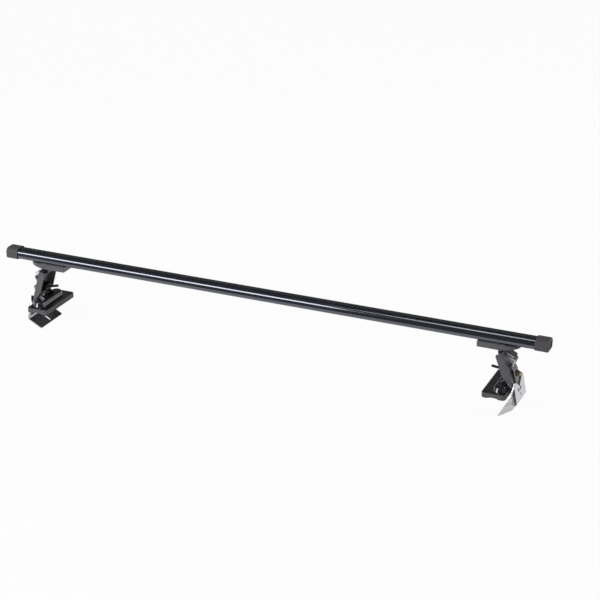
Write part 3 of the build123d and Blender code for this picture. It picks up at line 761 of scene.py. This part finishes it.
def studio_floor(level):
    """A pale floor under the hooks, with a faint shadow."""
    half = FLOOR_HALF
    _, tree = stage_panel("Floor", [
        (-half, -half, level), (half, -half, level), (half, half, level), (-half, half, level)])
    shader = tree.nodes["Principled BSDF"]
    shader.inputs["Base Color"].default_value = FLOOR_COLOR
    shader.inputs["Roughness"].default_value = FLOOR_ROUGHNESS
    glow = tree.nodes.new("ShaderNodeEmission")
    glow.inputs["Color"].default_value = WHITE
    share = math_node(tree, "MULTIPLY", seen_directly(tree), FLOOR_WHITE_SHARE)
    mix_shaders(tree, share, shader.outputs["BSDF"], glow.outputs["Emission"], "Material Output")


def studio_world(level):
    """White where it is seen, and an even grey light on the object."""
    world = bpy.data.worlds.new("Studio")
    world.use_nodes = True
    bpy.context.scene.world = world
    tree = world.node_tree
    even = tree.nodes["Background"]
    white = tree.nodes.new("ShaderNodeBackground")
    for background, strength in ((even, level), (white, 1.0)):
        background.inputs["Color"].default_value = WHITE
        background.inputs["Strength"].default_value = strength
    mix_shaders(tree, seen_directly(tree), even.outputs["Background"], white.outputs["Background"],
                "World Output")


def flag_and_painted_reflection(name, corners, tone):
    """A dark panel hidden from the camera, from diffuse light and from shadows, which only the glossy paint
    reflects: out of the picture it is a studio flag, and lying on the floor in the picture it is a painted
    dark reflection.
    """
    flag, tree = stage_panel(name, corners)
    # Hidden from the camera: a panel on the floor in the picture shows only as a painted dark reflection
    flag.visible_camera = False
    flag.visible_diffuse = False
    flag.visible_shadow = False
    shader = tree.nodes["Principled BSDF"]
    shader.inputs["Base Color"].default_value = (tone, tone, tone, 1)
    shader.inputs["Roughness"].default_value = 1.0
    shader.inputs["Specular IOR Level"].default_value = 0.0


def flags_along_bar_and_painted_reflection(level, tone):
    """The flags along the bar, each from one long edge to the other, given by y and z; the low one lies on
    the floor in the picture, hidden from the camera, as a painted dark reflection of the floor in front of
    the bar.
    """
    for name, (y, z), (far_y, far_z), shade in (
            ("Back flag", (FLAG_BACK, 0.2), (2.15, 1.15), 1),
            ("High flag", (2.15, 1.15), (1.6, 3.2), DEEP_SHADE),
            # painted dark reflection: a dark sheet on the floor in front, hidden from the camera, that the
            # bar's front reflects instead of the pale floor
            ("Painted low reflection", (-0.34, level), (FLAG_FRONT, FLAG_FOOT), 1),
            ("Front flag", (FLAG_FRONT, FLAG_FOOT), (-2.0, FLAG_HEAD), 1),
            ("Top flag", (-2.0, FLAG_HEAD), (1.6, 3.2), 1)):
        flag_and_painted_reflection(name, [(-FLAG_REACH, y, z), (FLAG_REACH, y, z),
                           (FLAG_REACH, far_y, far_z), (-FLAG_REACH, far_y, far_z)], tone * shade)


def painted_side_reflection(level, tone):
    """Painted dark reflection: a dark sheet on the floor beside the right hook, hidden from the camera, so
    the hook reflects dark where the floor is seen pale.
    """
    left, right, front, back = 0.66, 1.5, -0.5, -0.02
    flag_and_painted_reflection("Painted side reflection", [(left, front, level), (right, front, level),
                              (right, back, level), (left, back, level)], tone * DEEP_SHADE)


def end_flags(tone):
    """The flags beyond the bar's two ends."""
    for name, end in (("Left flag", -FLAG_REACH), ("Right flag", FLAG_REACH)):
        flag_and_painted_reflection(name, [(end, FLAG_FRONT, FLAG_FOOT), (end, FLAG_BACK, FLAG_FOOT),
                           (end, FLAG_BACK, FLAG_HEAD), (end, FLAG_FRONT, FLAG_HEAD)], tone)


class CROSSBAR_OT_studio(bpy.types.Operator):
    """Set up the floor, the lamps, the flags, the painted dark reflections on the floor and the camera"""

    bl_idname = "crossbar.studio"
    bl_label = "Studio"

    def execute(self, context):
        settings = context.scene.crossbar_studio
        studio_floor(CAD_BOX[0][2])
        studio_world(settings.sky_level)
        area_lamp("Front softbox", place=(-1.9, -2.95, 1.1), target=(-1.9, 0, -0.05), size=(1.9, 1.5),
                  power=settings.softbox_power)
        area_lamp("Top softbox", place=(-0.22, -1.1, 2.5), target=(0.5, 0, 0), size=(0.6, 1.3),
                  power=settings.top_power)
        area_lamp("Rim softbox", place=(2.2, 1.6, 1.0), target=(0.2, 0, -0.05), size=(1.0, 1.0),
                  power=settings.rim_power)
        level = CAD_BOX[0][2] + MM
        flags_along_bar_and_painted_reflection(level, settings.flag_and_reflection_tone)
        painted_side_reflection(level, settings.flag_and_reflection_tone)
        end_flags(settings.end_tone)
        studio_camera(settings)
        context.scene.view_settings.view_transform = "Standard"
        return {"FINISHED"}


class CROSSBAR_PT_panel(bpy.types.Panel):
    """Sidebar panel with the crossbar's settings and steps"""

    bl_label = "Roof Rack Crossbar"
    bl_idname = "CROSSBAR_PT_panel"
    bl_space_type = "VIEW_3D"
    bl_region_type = "UI"
    bl_category = "Crossbar"

    def draw(self, context):
        for group, kind in SETTINGS:
            column = self.layout.column()
            for name in kind.__annotations__:
                column.prop(getattr(context.scene, group), name)
        for operator in OPERATORS:
            self.layout.operator(operator.bl_idname)


OPERATORS = (
    CROSSBAR_OT_bar,
    CROSSBAR_OT_end_caps,
    CROSSBAR_OT_saddles,
    CROSSBAR_OT_legs,
    CROSSBAR_OT_hooks,
    CROSSBAR_OT_bolts,
    CROSSBAR_OT_feet,
    CROSSBAR_OT_studio,
)
SETTINGS = (
    ("crossbar_finish", FinishSettings),
    ("crossbar_detail", DetailSettings),
    ("crossbar_studio", StudioSettings),
)


def register():
    """Register the settings, the steps and the panel."""
    for name, settings in SETTINGS:
        bpy.utils.register_class(settings)
        setattr(bpy.types.Scene, name, bpy.props.PointerProperty(type=settings))
    for operator in OPERATORS:
        bpy.utils.register_class(operator)
    bpy.utils.register_class(CROSSBAR_PT_panel)


def unregister():
    """Take the panel, the steps and the settings away again."""
    bpy.utils.unregister_class(CROSSBAR_PT_panel)
    for operator in reversed(OPERATORS):
        bpy.utils.unregister_class(operator)
    for name, settings in reversed(SETTINGS):
        delattr(bpy.types.Scene, name)
        bpy.utils.unregister_class(settings)


def main():
    """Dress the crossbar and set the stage."""
    register()
    bpy.ops.crossbar.bar()
    bpy.ops.crossbar.end_caps()
    bpy.ops.crossbar.saddles()
    bpy.ops.crossbar.legs()
    bpy.ops.crossbar.hooks()
    bpy.ops.crossbar.bolts()
    bpy.ops.crossbar.feet()
    bpy.ops.crossbar.studio()


if __name__ == "__main__":
    main()
